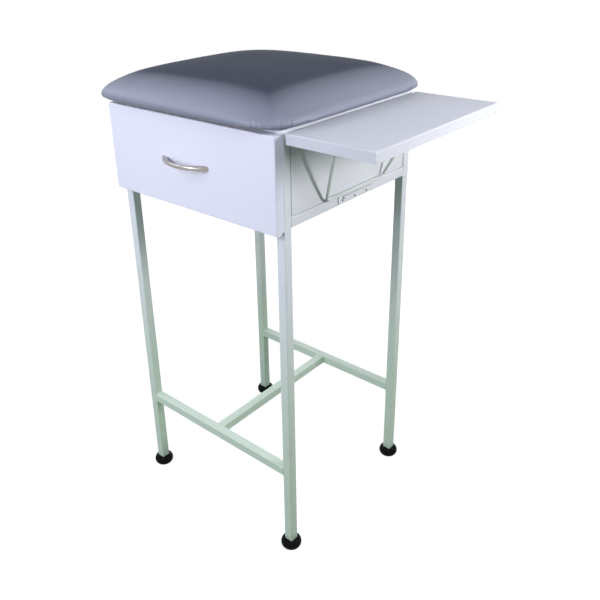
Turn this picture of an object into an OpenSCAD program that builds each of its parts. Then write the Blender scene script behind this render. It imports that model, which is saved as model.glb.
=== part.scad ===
// Phlebotomy table: a square tube stand that carries a drawer cabinet, a padded top
// and a side shelf which folds down on a hinge and is propped by a wire strut.
// The front with the drawer faces -Y, the folding shelf is on +X, and the feet stand on z = 0.

/* [Frame] */
// Width over the legs
frame_w = 450; // [390:5:560]
// Depth over the legs
frame_d = 410; // [380:5:520]
// Height from the floor to the top of the upper rails
frame_h = 939; // [800:1:1100]
// Side of the square tube
tube = 20; // [18:1:25]
// Wall of the square tube
tube_wall = 1.5; // [1:0.1:1.8]
// Outer corner radius of the square tube
tube_r = 2; // [1.9:0.1:3]
// Height from the floor to the top of the low stretchers
stretcher_top = 214; // [120:2:400]
// Height of the cabinet, from the underside of its lower rails to the top of the upper rails
cabinet_h = 181; // [170:1:230]

/* [Feet] */
// Largest diameter of a foot
foot_d = 45; // [38:1:60]
// Height of a foot below the tube
foot_h = 20; // [14:1:28]
// Radius of the rounded side of a foot
foot_round = 13; // [11:0.5:18]
// Length of the plug inside the tube
plug_len = 26; // [15:1:40]
// Depth of each rib that grips the tube
plug_rib = 1; // [0.5:0.1:1.5]

/* [Panels and deck] */
// Thickness of the panel sheet
panel_t = 1; // [0.8:0.1:1.5]
// How far a panel sits back from the face of the tubes
panel_recess = 2.5; // [1:0.1:5]
// Gap between a side panel and the front leg
panel_gap = 0.5; // [0.3:0.1:1.5]
// Depth of the flange folded in around a panel
panel_flange = 10; // [6:0.5:12]
// Thickness of the deck sheet
deck_t = 1.2; // [1:0.1:2]
// Height of the lip folded down around the deck
deck_lip = 6.2; // [4:0.1:7]
// How far the deck reaches forward over the drawer front
deck_front = 2; // [2:0.5:14]

/* [Drawer] */
// How far the drawer front hangs below the cabinet
front_hang = 5.6; // [2:0.2:12]
// Depth of the folded edge of the drawer front
front_d = 20; // [16:0.5:26]
// Thickness of the drawer front sheet
front_t = 1.2; // [1:0.1:1.6]
// Gap between the top of the drawer front and the deck lip
front_gap = 0.7; // [0.5:0.1:4]
// Gap between the top of the drawer box and the underside of the upper rails
box_clear = 19; // [8:1:30]
// How far the drawer box reaches past the back end of its runners
box_over = 2.3; // [0:0.1:12]
// Thickness of the drawer box sheet
box_t = 1; // [0.8:0.1:1.2]
// Width of the safe edge folded in along the top of the box
box_hem = 7; // [4:0.5:12]
// Height of the box above the cabinet's front rail
box_lift = 5; // [3:0.5:10]

/* [Handle] */
// Length of the bow handle
bow_len = 130; // [100:1:160]
// How far the bow stands out from the drawer front
bow_rise = 26; // [20:0.5:34]
// Thickness of the bow at its middle
bow_t = 6; // [4:0.5:8]
// Height of the bow at its middle
bow_mid_h = 8; // [6:0.5:10]
// Height of the bow at its ends
bow_end_h = 13; // [11:0.5:16]
// Length of the pad at each end of the bow
bow_pad = 18; // [14:0.5:24]
// Height of the handle above the middle of the drawer front
handle_up = 3; // [-10:0.5:20]
// Sideways place of the handle from the middle
handle_side = -4; // [-20:0.5:20]
// Diameter of the handle screws
handle_screw_d = 4; // [3:0.1:5]

/* [Runners] */
// Length of the runners
runner_len = 350; // [330:5:360]
// Space that a runner fills beside the box
runner_w = 12.7; // [12.7:0.1:14]
// Height of a runner
runner_h = 35; // [34:0.5:40]
// Thickness of the runner sheet
runner_t = 1.2; // [1:0.1:1.3]
// Diameter of the runner balls
ball_d = 5; // [4.5:0.1:5.5]
// Spacing of the balls in a cage
ball_pitch = 12; // [10:1:15]
// Number of balls along one side of a cage
ball_count = 7; // [4:1:8]
// Height of the runner's lower edge above the underside of the box
runner_lift = 9; // [4:0.5:20]
// Thickness of the flat bar behind each runner
bearer_t = 4; // [3.5:0.5:6]
// Height of the flat bar behind each runner
bearer_h = 26; // [20:1:32]

/* [Cushion] */
// How far the padded top reaches past the legs on either side, on the mean of both
cushion_over_side = 30; // [8:1:40]
// How far the padded top reaches past the legs at the front and the back, on the mean of both
cushion_over_end = 44; // [12:1:50]
// Sideways place of the padded top
cushion_side = -15; // [-20:0.5:4]
// Place of the padded top from front to back
cushion_back = 6.5; // [-10:0.5:12]
// Height of the widest line above the underside
cushion_belly = 6; // [5:0.5:14]
// How far the underside is drawn in below the widest line
cushion_under = 10; // [6:0.5:16]
// Height of the rounded shoulder above the widest line
cushion_shoulder_h = 30; // [20:1:45]
// Width of the rounded shoulder
cushion_shoulder_w = 53; // [40:1:90]
// Height of the crown above the shoulder
cushion_crown = 27.5; // [10:0.5:45]
// Thickness of the board inside the cushion
board_t = 12; // [9:1:18]
// Margin from the cushion's widest line to the board
board_margin = 28; // [24:1:40]
// Corner radius of the board
board_r = 40; // [20:1:60]
// Diameter of the screws that hold the board
board_screw_d = 4; // [3:0.5:5]

/* [Shelf] */
// Reach of the shelf from its hinge edge
shelf_w = 181; // [150:1:200]
// Length of the shelf from front to back
shelf_len = 415; // [380:1:440]
// Place of the shelf's middle from front to back
shelf_back = 3; // [-5:0.5:5]
// Height of the shelf's folded edge
shelf_lip = 19.5; // [14:0.5:24]
// Thickness of the shelf sheet
shelf_t = 1.2; // [1:0.1:1.6]
// Drop from the top of the upper rails to the shelf's top
shelf_drop = 3; // [2:0.5:8]

/* [Hinge] */
// Outer radius of a hinge knuckle
knuckle_r = 3; // [2.8:0.1:3.5]
// Radius of the hinge pin
pin_r = 1.5; // [1.2:0.1:1.7]
// Thickness of a hinge leaf
leaf_t = 1.2; // [0.8:0.1:1.2]
// Height of a hinge leaf above the pin
leaf_h = 17; // [14:0.5:18]
// Length of one knuckle with its gap
knuckle_pitch = 30; // [20:1:40]
// Number of knuckles
knuckle_count = 12; // [8:1:12]

/* [Strut] */
// Diameter of the strut wire
wire_d = 6; // [5:0.1:6]
// Distance from the hinge pin out to the strut's pivot
pivot_out = 63; // [55:1:75]
// Half the straight width of the strut's foot
foot_half = 93; // [70:1:100]
// Half the width of the strut at its pivot
pivot_half = 145; // [125:1:150]
// Place of the strut's middle from front to back
strut_back = 5; // [-10:1:10]
// Bend radius of the wire's centre line
bend_r = 12; // [8:0.5:16]
// Length of each pivot stub past the bend
stub_len = 22; // [18:1:26]
// Gap between the strut's foot and the edge that it stands on
foot_gap = 0.8; // [0.8:0.1:1.2]
// Angle at which the foot leans on that edge
foot_lean = 38; // [36:1:45]
// Thickness of the clips' sheet
clip_t = 1.5; // [1:0.1:1.8]
// Width of a clip along the pivot
clip_w = 14; // [8:0.5:16]
// Reach of a clip's ears from the pivot
clip_ear = 15; // [12:0.5:20]

/* [Catch strip] */
// Length of the catch strip
strip_len = 120; // [80:1:140]
// Height of the catch strip on the rail
strip_h = 17; // [14:0.5:18]
// Thickness of the catch strip
strip_t = 1.2; // [0.8:0.1:1.2]
// Place of the strip's middle from front to back
strip_back = 12; // [-10:1:20]
// Diameter of the strip's screw heads
strip_head_d = 4; // [3:0.1:5]
// Depth of the groove pressed along the strip
groove_depth = 0.5; // [0.2:0.1:0.6]

/* [Hidden] */
$fn = 48;

// Clearances
run_gap = 0.3;   // between pieces that move past each other
pin_gap = 0.05;  // around a pin that turns
ball_gap = 0.05; // between a ball and its race
seat_gap = 0.3;  // between the cushion and what it rests on
slip_gap = 0.2;  // around a plug or a screw in its hole
cut = 1;         // overrun of a cut past the face that it opens

// Bend radii of folded sheet, measured outside
soft_bend = 2;
tight_bend = 1.7;

// Colours
enamel = [0.86, 0.88, 0.90];
steel = [0.66, 0.67, 0.69];
vinyl = [0.42, 0.45, 0.52];
black = [0.07, 0.07, 0.08];
plywood = [0.76, 0.62, 0.44];

// Places that follow from the frame
cabinet_z = frame_h - cabinet_h;
leg_x = (frame_w - tube) / 2;
leg_y = (frame_d - tube) / 2;
inner_x = frame_w / 2 - tube;
inner_y = frame_d / 2 - tube;
cabinet_rail_z = cabinet_z + tube / 2;
cabinet_rail_top = cabinet_z + tube;
top_rail_z = frame_h - tube / 2;
stretcher_z = stretcher_top - tube / 2;
deck_top = frame_h + deck_t;
half_share = 0.5;       // the middle of a pitch

// Feet
foot_belly_share = 0.45; // height of the widest line as a share of the foot
plug_ribs = 4;
rib_place_share = 0.4;   // place of a rib in its pitch
rib_share = 0.35;        // height of a rib in its pitch

// Drawer front: a shallow pan that laps over the front legs
front_back_y = -frame_d / 2 - run_gap;
front_face_y = front_back_y - front_d;
front_top_z = deck_top - deck_lip - front_gap;
front_h = front_top_z - cabinet_z + front_hang;
front_mid_z = front_top_z - front_h / 2;
notch_deep = 6;  // corner relief of the folded edge, along the depth
notch_high = 4;  // corner relief of the folded edge, along the height

// Drawer box and runners
box_w = frame_w - 2 * tube - 2 * runner_w;
box_front_y = front_face_y + front_t;
box_z = cabinet_rail_top + box_lift;
box_h = frame_h - tube - box_clear - box_z;
box_fit = tight_bend - box_t;                // clears the inner side of a bend
box_plate_w = box_w - 2 * (box_t + box_fit);
box_plate_h = box_h - 2 * (box_t + box_fit);
runner_mid_z = box_z + runner_lift + runner_h / 2;
runner_start_y = -frame_d / 2 + 2 * run_gap;
box_d = runner_start_y + runner_len + box_over - box_front_y;
race_outer = runner_h / 2 - runner_t;
ball_v = race_outer - ball_gap - ball_d / 2;
race_inner = ball_v - ball_d / 2 - ball_gap;
ball_u = runner_w / 2;
cage_t = 0.6;                                // sheet of a ball cage
cage_web_u = runner_t + run_gap;             // from the leg to the cage's web
inner_tip_u = cage_web_u + cage_t + 2 * run_gap; // from the leg to the inner runner's edge
cage_reach = ball_u + ball_d / 2;            // from the leg to the edge of the cage
race_lip = 1.4;                              // height of the lip that keeps the balls in
race_lip_u = cage_reach + 2 * run_gap;       // from the leg to that lip
cage_len = ball_count * ball_pitch;
cage_start_y = runner_start_y + (runner_len - cage_len) / 2;

// Handle
handle_z = front_mid_z + handle_up;
pad_x = bow_len / 2 - bow_pad / 2;
bow_facets = 180;                            // sides of the bow's two large circles
waist_facets = 720;                          // sides of the circles that narrow the bow
round_end_share = 0.49;                      // radius of the bow's ends as a share of their height
thread_share = 0.34;                         // depth of the screw hole as a share of the pad
screw_head_h = 2;
screw_head_share = 1.9;                      // head diameter as a share of the shank

// Cushion
cushion_w = frame_w + 2 * cushion_over_side;
cushion_d = frame_d + 2 * cushion_over_end;
cushion_z = deck_top + seat_gap;
board_w = cushion_w - 2 * board_margin;
board_d = cushion_d - 2 * board_margin;
board_screw_share = 0.333;                   // place of the board's screws from its middle
board_screw_x = board_w * board_screw_share;
board_screw_y = board_d * board_screw_share;
screw_bite_share = 0.75;                     // how far a board screw goes into the board
cushion_belly_z = cushion_z + cushion_belly;
cushion_corner_share = 0.26;                 // exponent of the outline: smaller is squarer
crown_power_share = 3;                       // exponent of the crown: larger is flatter
ring_points = 48;
under_rings = 3;
shoulder_rings = 7;
crown_rings = 5;

// Shelf, hinge and strut
pin_x = frame_w / 2 + run_gap + knuckle_r;
shelf_x = pin_x + knuckle_r;
shelf_top_z = frame_h - shelf_drop;
pin_z = shelf_top_z - shelf_lip - knuckle_r - run_gap;
hinge_len = knuckle_count * knuckle_pitch;
hinge_screw_count = 5;
hinge_hole_share = 0.65;                     // height of the hinge screws as a share of the leaf
pin_head_r = 2.2;
pin_head_t = 1;
wire_r = wire_d / 2;
bend_thin = 0.05;                            // how much the wire's radius shrinks in a bend
bend_lap = 2;                                // angle by which a bend laps into a straight run
shelf_under_z = shelf_top_z - shelf_t;
pivot_x = pin_x + pivot_out;
pivot_z = shelf_under_z - wire_r - 2 * pin_gap;
strip_face_x = frame_w / 2 + strip_t;
strip_top_z = cabinet_rail_top + strip_t;
foot_x = strip_face_x + (wire_r + foot_gap) * sin(foot_lean);
foot_z = strip_top_z + (wire_r + foot_gap) * cos(foot_lean);
strut_len = norm([pivot_x - foot_x, pivot_z - foot_z]);
strut_lean = atan2(pivot_x - foot_x, pivot_z - foot_z);
splay = atan2(pivot_half - foot_half, strut_len);
bend_turn = 90 - splay;
bend_in = bend_r * tan(bend_turn / 2);
strip_screw_shares = [-0.395, -0.362, -0.063, 0.269];
strip_screw_z_shares = [0.3, 0.5, 0.24, 0.23];
groove_h = 2.5;
groove_len_share = 0.82;
groove_place_share = 0.3;                    // depth of the groove as a share of the strip's height

// The middle of the whole table's box stands over the origin
span_left = cushion_side - cushion_w / 2;
span_right = shelf_x + shelf_w;
span_front = min(front_face_y - bow_rise, cushion_back - cushion_d / 2);
span_back = max(cushion_back + cushion_d / 2, frame_d / 2 + deck_t);
mid_x = (span_left + span_right) / 2;
mid_y = (span_front + span_back) / 2;

echo(strut_length = strut_len, strut_lean = strut_lean, hinge = [pin_x - mid_x, -mid_y, pin_z]);
echo(strut_pivot = [pivot_x - mid_x, strut_back - mid_y, pivot_z], middle = [mid_x, mid_y]);

// Puts a piece drawn about the middle of the legs into the table's own frame
module placed() {
    translate([-mid_x, -mid_y, 0]) children();
}

module left_of_middle() {
    mirror([1, 0, 0]) children();
}

// Rectangle with round corners, made of squares and circles
module round_rect(w, h, r) {
    square([w - 2 * r, h], center = true);
    square([w, h - 2 * r], center = true);
    for (sx = [-1, 1], sy = [-1, 1])
        translate([sx * (w / 2 - r), sy * (h / 2 - r)]) circle(r);
}

module tube_section() {
    bore = tube - 2 * tube_wall;
    difference() {
        round_rect(tube, tube, tube_r);
        round_rect(bore, bore, tube_r - tube_wall);
    }
}

module tube_z(len) {
    linear_extrude(len) tube_section();
}

module tube_x(len) {
    rotate([0, 90, 0]) translate([0, 0, -len / 2]) tube_z(len);
}

module tube_y(len) {
    rotate([90, 0, 0]) translate([0, 0, -len / 2]) tube_z(len);
}

// Side view of a folded pan: flat floor at the bottom with bent edges
module pan_side(w, d, r) {
    translate([-w / 2, r]) square([w, d - r]);
    translate([-w / 2 + r, 0]) square([w - 2 * r, d]);
    for (sx = [-1, 1]) translate([sx * (w / 2 - r), r]) circle(r);
}

module pan_block(w, h, d, r) {
    intersection() {
        rotate([90, 0, 0]) linear_extrude(h, center = true) pan_side(w, d, r);
        rotate([90, 0, 90]) linear_extrude(w, center = true) pan_side(h, d, r);
    }
}

// Sheet pan with its floor outwards at z = 0 and its walls up to z = d
module pan(w, h, d, t, r) {
    difference() {
        pan_block(w, h, d, r);
        translate([0, 0, t]) pan_block(w - 2 * t, h - 2 * t, d, r - t);
    }
}

// Section of a folded channel: its web lies at the bottom and its two lips stand up
module channel_section(web, lip, t, r) {
    difference() {
        pan_side(web, lip, r);
        translate([0, t]) pan_side(web - 2 * t, lip, r - t);
    }
}

// Channel that stands on one lip, web outwards at x = 0 and lips towards -X, along Y about its middle
module wall_channel(len, h, lip, t) {
    rotate([90, 0, 0]) linear_extrude(len, center = true) rotate(90) channel_section(h, lip, t, tight_bend);
}

// Frame

module leg(sx, sy) {
    placed() color(enamel) translate([sx * leg_x, sy * leg_y, foot_h]) tube_z(frame_h - foot_h);
}

module leg_front_left() { leg(-1, -1); }
module leg_front_right() { leg(1, -1); }
module leg_back_left() { leg(-1, 1); }
module leg_back_right() { leg(1, 1); }

module rail_across(sy, z) {
    placed() color(enamel) translate([0, sy * leg_y, z]) tube_x(2 * inner_x);
}

module rail_along(sx, z) {
    placed() color(enamel) translate([sx * leg_x, 0, z]) tube_y(2 * inner_y);
}

module bottom_rail_front() { rail_across(-1, cabinet_rail_z); }
module bottom_rail_back() { rail_across(1, cabinet_rail_z); }
module bottom_rail_left() { rail_along(-1, cabinet_rail_z); }
module bottom_rail_right() { rail_along(1, cabinet_rail_z); }
module top_rail_front() { rail_across(-1, top_rail_z); }
module top_rail_back() { rail_across(1, top_rail_z); }
module top_rail_left() { rail_along(-1, top_rail_z); }
module top_rail_right() { rail_along(1, top_rail_z); }
module stretcher_front() { rail_across(-1, stretcher_z); }
module stretcher_back() { rail_across(1, stretcher_z); }

module stretcher_centre() {
    placed() color(enamel) translate([0, 0, stretcher_z]) tube_y(2 * inner_y);
}

// Panels: folded sheets between the tubes, with a lip inwards at the top and at the bottom

module panel(len) {
    h = frame_h - tube - cabinet_rail_top;
    translate([0, 0, cabinet_rail_top + h / 2]) wall_channel(len, h, panel_flange, panel_t);
}

module side_panel() {
    translate([frame_w / 2 - panel_recess, panel_gap / 2, 0]) panel(2 * inner_y - panel_gap);
}

module side_panel_right() { placed() color(enamel) side_panel(); }
module side_panel_left() { placed() color(enamel) left_of_middle() side_panel(); }

module back_panel() {
    placed() color(enamel) translate([0, frame_d / 2 - panel_recess, 0]) rotate(90) panel(2 * inner_x);
}

module board_screw_places() {
    translate([cushion_side, cushion_back, 0])
        for (sx = [-1, 1], sy = [-1, 1])
            translate([sx * board_screw_x, sy * board_screw_y, 0]) children();
}

module top_deck() {
    depth = frame_d + deck_front + deck_t;
    placed() color(enamel) difference() {
        translate([0, (deck_t - deck_front) / 2, deck_top]) mirror([0, 0, 1])
            pan(frame_w + 2 * deck_t, depth, deck_lip, deck_t, tight_bend);
        board_screw_places() translate([0, 0, frame_h - cut])
            cylinder(d = board_screw_d + 2 * slip_gap, h = deck_t + 2 * cut);
    }
}

// Feet: a rounded disc under the tube and a ribbed plug inside it

module foot_disc() {
    rotate_extrude() intersection() {
        translate([foot_d / 2 - foot_round, foot_h * foot_belly_share]) circle(foot_round);
        square([foot_d / 2, foot_h]);
    }
    cylinder(r = foot_d / 2 - foot_round, h = foot_h);
}

module foot_plug() {
    fit = tube - 2 * tube_wall - 2 * slip_gap;
    core = fit - 2 * plug_rib;
    pitch = plug_len / plug_ribs;
    translate([-core / 2, -core / 2, foot_h]) cube([core, core, plug_len]);
    for (i = [0:plug_ribs - 1])
        translate([0, 0, foot_h + (i + rib_place_share) * pitch]) linear_extrude(pitch * rib_share)
            square(fit, center = true);
}

module foot(sx, sy) {
    placed() color(black) translate([sx * leg_x, sy * leg_y, 0]) {
        foot_disc();
        foot_plug();
    }
}

module foot_front_left() { foot(-1, -1); }
module foot_front_right() { foot(1, -1); }
module foot_back_left() { foot(-1, 1); }
module foot_back_right() { foot(1, 1); }

// Drawer

module handle_screw_holes(depth_from, depth_to) {
    for (sx = [-1, 1])
        translate([handle_side + sx * pad_x, depth_from, handle_z]) rotate([-90, 0, 0])
            cylinder(d = handle_screw_d + 2 * slip_gap, h = depth_to - depth_from);
}

module front_notches() {
    for (sx = [-1, 1])
        translate([sx * frame_w / 2 - notch_deep / 2, front_back_y - notch_deep, front_top_z - front_h - cut])
            cube([notch_deep, notch_deep + cut, notch_high + cut]);
}

module drawer_front() {
    placed() color(enamel) difference() {
        translate([0, front_face_y, front_mid_z]) rotate([-90, 0, 0])
            pan(frame_w, front_h, front_d, front_t, soft_bend);
        front_notches();
        handle_screw_holes(front_face_y - cut, box_front_y + cut);
    }
}

// Drawer box: a channel at each side, with an inner front and a back between their lips, and a bottom
// sheet that lies on the lower lips

module drawer_side() {
    translate([box_w / 2, box_front_y + box_d / 2, box_z + box_h / 2])
        wall_channel(box_d, box_h, box_hem, box_t);
}

module drawer_side_right() { placed() color(enamel) drawer_side(); }
module drawer_side_left() { placed() color(enamel) left_of_middle() drawer_side(); }

module end_plate(y) {
    translate([-box_plate_w / 2, y, box_z + box_t + box_fit]) cube([box_plate_w, box_t, box_plate_h]);
}

module drawer_inner_front() {
    placed() color(enamel) difference() {
        end_plate(box_front_y);
        handle_screw_holes(box_front_y - cut, box_front_y + box_t + cut);
    }
}

module drawer_back() {
    placed() color(enamel) {
        translate([0, box_front_y + box_d, box_z + box_h / 2]) rotate(90)
            wall_channel(box_w - 2 * (box_hem + box_fit), box_h, box_hem, box_t);
        end_plate(box_front_y + box_d - box_t);
    }
}

module drawer_bottom() {
    len = box_d - 2 * (box_t + box_fit);
    placed() color(enamel) translate([-box_plate_w / 2, box_front_y + box_t + box_fit, box_z + box_t])
        cube([box_plate_w, len, box_t]);
}

// Plan of the bow: the outer arc reaches its rise, the inner arc leaves a pad at each end
function arc_radius(half, rise) = (half * half + rise * rise) / (2 * rise);

module bow_plan() {
    outer = arc_radius(bow_len / 2, bow_rise);
    inner = arc_radius(bow_len / 2 - bow_pad, bow_rise - bow_t);
    difference() {
        intersection() {
            translate([0, bow_rise - outer]) circle(outer, $fn = bow_facets);
            translate([-bow_len / 2, 0]) square([bow_len, bow_rise + cut]);
        }
        translate([0, bow_rise - bow_t - inner]) circle(inner, $fn = bow_facets);
    }
}

// Front view of the bow: waisted between its two rounded ends
module bow_front() {
    waist = arc_radius(bow_len / 2, (bow_end_h - bow_mid_h) / 2);
    difference() {
        round_rect(bow_len, bow_end_h, bow_end_h * round_end_share);
        for (s = [-1, 1]) translate([0, s * (bow_mid_h / 2 + waist)]) circle(waist, $fn = waist_facets);
    }
}

module drawer_handle() {
    reach = bow_pad * thread_share;
    placed() color(steel) difference() {
        translate([handle_side, front_face_y, handle_z]) intersection() {
            linear_extrude(bow_end_h, center = true) mirror([0, 1, 0]) bow_plan();
            rotate([90, 0, 0]) translate([0, 0, -cut]) linear_extrude(bow_rise + 2 * cut) bow_front();
        }
        for (sx = [-1, 1])
            translate([handle_side + sx * pad_x, front_face_y - reach, handle_z]) rotate([-90, 0, 0])
                cylinder(d = handle_screw_d + 2 * pin_gap, h = reach + cut);
    }
}

module handle_screws() {
    head_y = box_front_y + box_t;
    reach = bow_pad * thread_share - slip_gap;
    placed() color(steel) for (sx = [-1, 1]) translate([handle_side + sx * pad_x, 0, handle_z]) {
        translate([0, front_face_y - reach, 0]) rotate([-90, 0, 0])
            cylinder(d = handle_screw_d, h = head_y - front_face_y + reach);
        translate([0, head_y, 0]) rotate([-90, 0, 0])
            cylinder(d = handle_screw_d * screw_head_share, h = screw_head_h);
    }
}

// Runners: an outer channel on the leg, an inner channel on the box, and balls in a cage between.
// In these sections u is the distance from the leg's face and v the height from the middle.

module runner_run(len, start_y) {
    translate([inner_x, start_y, runner_mid_z]) rotate([-90, 0, 0]) linear_extrude(len)
        mirror([1, 0, 0]) children();
}

module outer_section() {
    translate([0, -runner_h / 2]) square([runner_t, runner_h]);
    for (s = [0, 1]) mirror([0, s]) {
        translate([0, race_outer]) square([race_lip_u + runner_t, runner_t]);
        translate([race_lip_u, race_outer - race_lip]) square([runner_t, race_lip + runner_t]);
    }
}

module inner_section() {
    deep = runner_w - inner_tip_u;
    inside = race_inner - runner_t;
    difference() {
        translate([inner_tip_u, -race_inner]) square([deep, 2 * race_inner]);
        translate([inner_tip_u - cut, -inside]) square([deep - runner_t + cut, 2 * inside]);
    }
}

module cage_section() {
    translate([cage_web_u, -ball_v - cage_t / 2]) square([cage_t, 2 * ball_v + cage_t]);
    for (s = [-1, 1])
        translate([cage_web_u, s * ball_v - cage_t / 2]) square([cage_reach - cage_web_u, cage_t]);
}

module runner_outer() { runner_run(runner_len, runner_start_y) outer_section(); }
module runner_inner() { runner_run(runner_len, runner_start_y) inner_section(); }

module ball_cage() {
    runner_run(cage_len, cage_start_y) cage_section();
    for (i = [0:ball_count - 1], s = [-1, 1])
        translate([inner_x - ball_u, cage_start_y + (i + half_share) * ball_pitch, runner_mid_z + s * ball_v])
            sphere(d = ball_d);
}

module runner_bearer() {
    translate([inner_x, -inner_y, runner_mid_z - bearer_h / 2]) cube([bearer_t, 2 * inner_y, bearer_h]);
}

module runner_bearer_right() { placed() color(enamel) runner_bearer(); }
module runner_bearer_left() { placed() color(enamel) left_of_middle() runner_bearer(); }
module runner_outer_right() { placed() color(steel) runner_outer(); }
module runner_outer_left() { placed() color(steel) left_of_middle() runner_outer(); }
module runner_inner_right() { placed() color(steel) runner_inner(); }
module runner_inner_left() { placed() color(steel) left_of_middle() runner_inner(); }
module ball_cage_right() { placed() color(steel) ball_cage(); }
module ball_cage_left() { placed() color(steel) left_of_middle() ball_cage(); }

// Cushion: a crowned form on a squared-off oval outline, drawn in under its widest line

function bend(c, e) = sign(c) * pow(abs(c), e);

function ring_point(i, half_w, half_d) =
    let (a = 360 * i / ring_points)
    [half_w * bend(cos(a), cushion_corner_share), half_d * bend(sin(a), cushion_corner_share)];

function crown_at(p) =
    cushion_crown
    * (1 - pow(abs(p[0]) / (cushion_w / 2), crown_power_share))
    * (1 - pow(abs(p[1]) / (cushion_d / 2), crown_power_share));

function under_ring(k) =
    let (a = 90 * k / under_rings, inset = cushion_under * (1 - sin(a)))
    [for (i = [0:ring_points - 1])
        let (p = ring_point(i, cushion_w / 2 - inset, cushion_d / 2 - inset))
        [p[0], p[1], cushion_z + cushion_belly * (1 - cos(a))]];

function shoulder_ring(k) =
    let (a = 90 * k / shoulder_rings, inset = cushion_shoulder_w * (1 - cos(a)))
    [for (i = [0:ring_points - 1])
        let (p = ring_point(i, cushion_w / 2 - inset, cushion_d / 2 - inset))
        [p[0], p[1], cushion_belly_z + cushion_shoulder_h * sin(a) + crown_at(p)]];

function crown_ring(k) =
    let (s = 1 - k / (crown_rings + 1))
    [for (i = [0:ring_points - 1])
        let (p = s * ring_point(i, cushion_w / 2 - cushion_shoulder_w, cushion_d / 2 - cushion_shoulder_w))
        [p[0], p[1], cushion_belly_z + cushion_shoulder_h + crown_at(p)]];

cushion_rings = concat(
    [for (k = [0:under_rings - 1]) under_ring(k)],
    [for (k = [0:shoulder_rings]) shoulder_ring(k)],
    [for (k = [1:crown_rings]) crown_ring(k)]
);

module cushion_form() {
    levels = len(cushion_rings);
    top = levels * ring_points;
    points = concat(
        [for (ring = cushion_rings, p = ring) p],
        [[0, 0, cushion_belly_z + cushion_shoulder_h + cushion_crown], [0, 0, cushion_z]]
    );
    sides = [for (k = [0:levels - 2], i = [0:ring_points - 1])
        let (a = k * ring_points + i, b = k * ring_points + (i + 1) % ring_points)
        each [[a, a + ring_points, b + ring_points], [a, b + ring_points, b]]];
    lid = [for (i = [0:ring_points - 1])
        [top, (levels - 1) * ring_points + (i + 1) % ring_points, (levels - 1) * ring_points + i]];
    base = [for (i = [0:ring_points - 1]) [top + 1, i, (i + 1) % ring_points]];
    polyhedron(points, concat(sides, lid, base));
}

module board_block(grow, h) {
    linear_extrude(h) round_rect(board_w + 2 * grow, board_d + 2 * grow, board_r + grow);
}

module cushion() {
    placed() color(vinyl) translate([cushion_side, cushion_back, 0]) difference() {
        cushion_form();
        translate([0, 0, deck_top - cut]) board_block(seat_gap, board_t + cut + seat_gap);
    }
}

module cushion_board() {
    placed() color(plywood) difference() {
        translate([cushion_side, cushion_back, deck_top]) board_block(0, board_t);
        board_screw_places() translate([0, 0, deck_top - cut])
            cylinder(d = board_screw_d + 2 * pin_gap, h = board_t * screw_bite_share + cut + slip_gap);
    }
}

module cushion_screws() {
    placed() color(steel) board_screw_places() {
        translate([0, 0, frame_h - screw_head_h])
            cylinder(d = board_screw_d * screw_head_share, h = screw_head_h);
        translate([0, 0, frame_h - screw_head_h])
            cylinder(d = board_screw_d, h = screw_head_h + deck_t + board_t * screw_bite_share);
    }
}

// Shelf and hinge

module shelf_tray() {
    placed() color(enamel) translate([shelf_x + shelf_w / 2, shelf_back, shelf_top_z]) mirror([0, 0, 1])
        pan(shelf_w, shelf_len, shelf_lip, shelf_t, soft_bend);
}

// One leaf with its share of the knuckles, standing at the -X side of the pin, pin along Y
module hinge_leaf(first, face) {
    plate_x = face < 0 ? -knuckle_r - run_gap : knuckle_r - leaf_t;
    difference() {
        union() {
            translate([plate_x, -hinge_len / 2, knuckle_r + run_gap])
                cube([leaf_t, hinge_len, leaf_h - knuckle_r - run_gap]);
            for (i = [first:2:knuckle_count - 1])
                translate([0, -hinge_len / 2 + i * knuckle_pitch + run_gap, 0]) {
                    translate([plate_x, 0, 0])
                        cube([leaf_t, knuckle_pitch - 2 * run_gap, knuckle_r + 2 * run_gap]);
                    rotate([-90, 0, 0]) cylinder(r = knuckle_r, h = knuckle_pitch - 2 * run_gap);
                }
        }
        translate([0, -hinge_len / 2 - cut, 0]) rotate([-90, 0, 0])
            cylinder(r = pin_r + pin_gap, h = hinge_len + 2 * cut);
        if (face < 0) hinge_screw_places() cylinder(r = pin_r + slip_gap, h = leaf_t + 2 * cut);
    }
}

module hinge_screw_places() {
    step = hinge_len / hinge_screw_count;
    for (i = [0:hinge_screw_count - 1])
        translate([-knuckle_r - run_gap - cut, -hinge_len / 2 + (i + half_share) * step, leaf_h * hinge_hole_share])
            rotate([0, 90, 0]) children();
}

module at_pin() {
    placed() translate([pin_x, 0, pin_z]) children();
}

module hinge_leaf_fixed() { at_pin() color(enamel) hinge_leaf(0, -1); }
module hinge_leaf_moving() { at_pin() color(enamel) hinge_leaf(1, 1); }

module hinge_pin() {
    at_pin() color(steel) {
        translate([0, -hinge_len / 2, 0]) rotate([-90, 0, 0]) cylinder(r = pin_r, h = hinge_len);
        for (y = [-hinge_len / 2 - pin_head_t, hinge_len / 2])
            translate([0, y, 0]) rotate([-90, 0, 0]) cylinder(r = pin_head_r, h = pin_head_t);
    }
}

module hinge_screws() {
    at_pin() color(steel) hinge_screw_places()
        translate([0, 0, cut + leaf_t]) cylinder(r = pin_head_r, h = pin_head_t);
}

// Strut: one wire, bent in its own plane. Each step of its path is a straight run and then a turn
// to the left, and the next step starts where the turn ends. The wire is a touch thinner in its
// bends, as bent wire is, and each bend laps into the runs beside it.

module wire_elbow(turn) {
    if (turn > 0) translate([0, bend_r, 0]) rotate([0, 0, -bend_lap - 90])
        rotate_extrude(angle = turn + 2 * bend_lap) translate([bend_r, 0]) circle(wire_r - bend_thin);
    else mirror([0, 1, 0]) wire_elbow(-turn);
}

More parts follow.
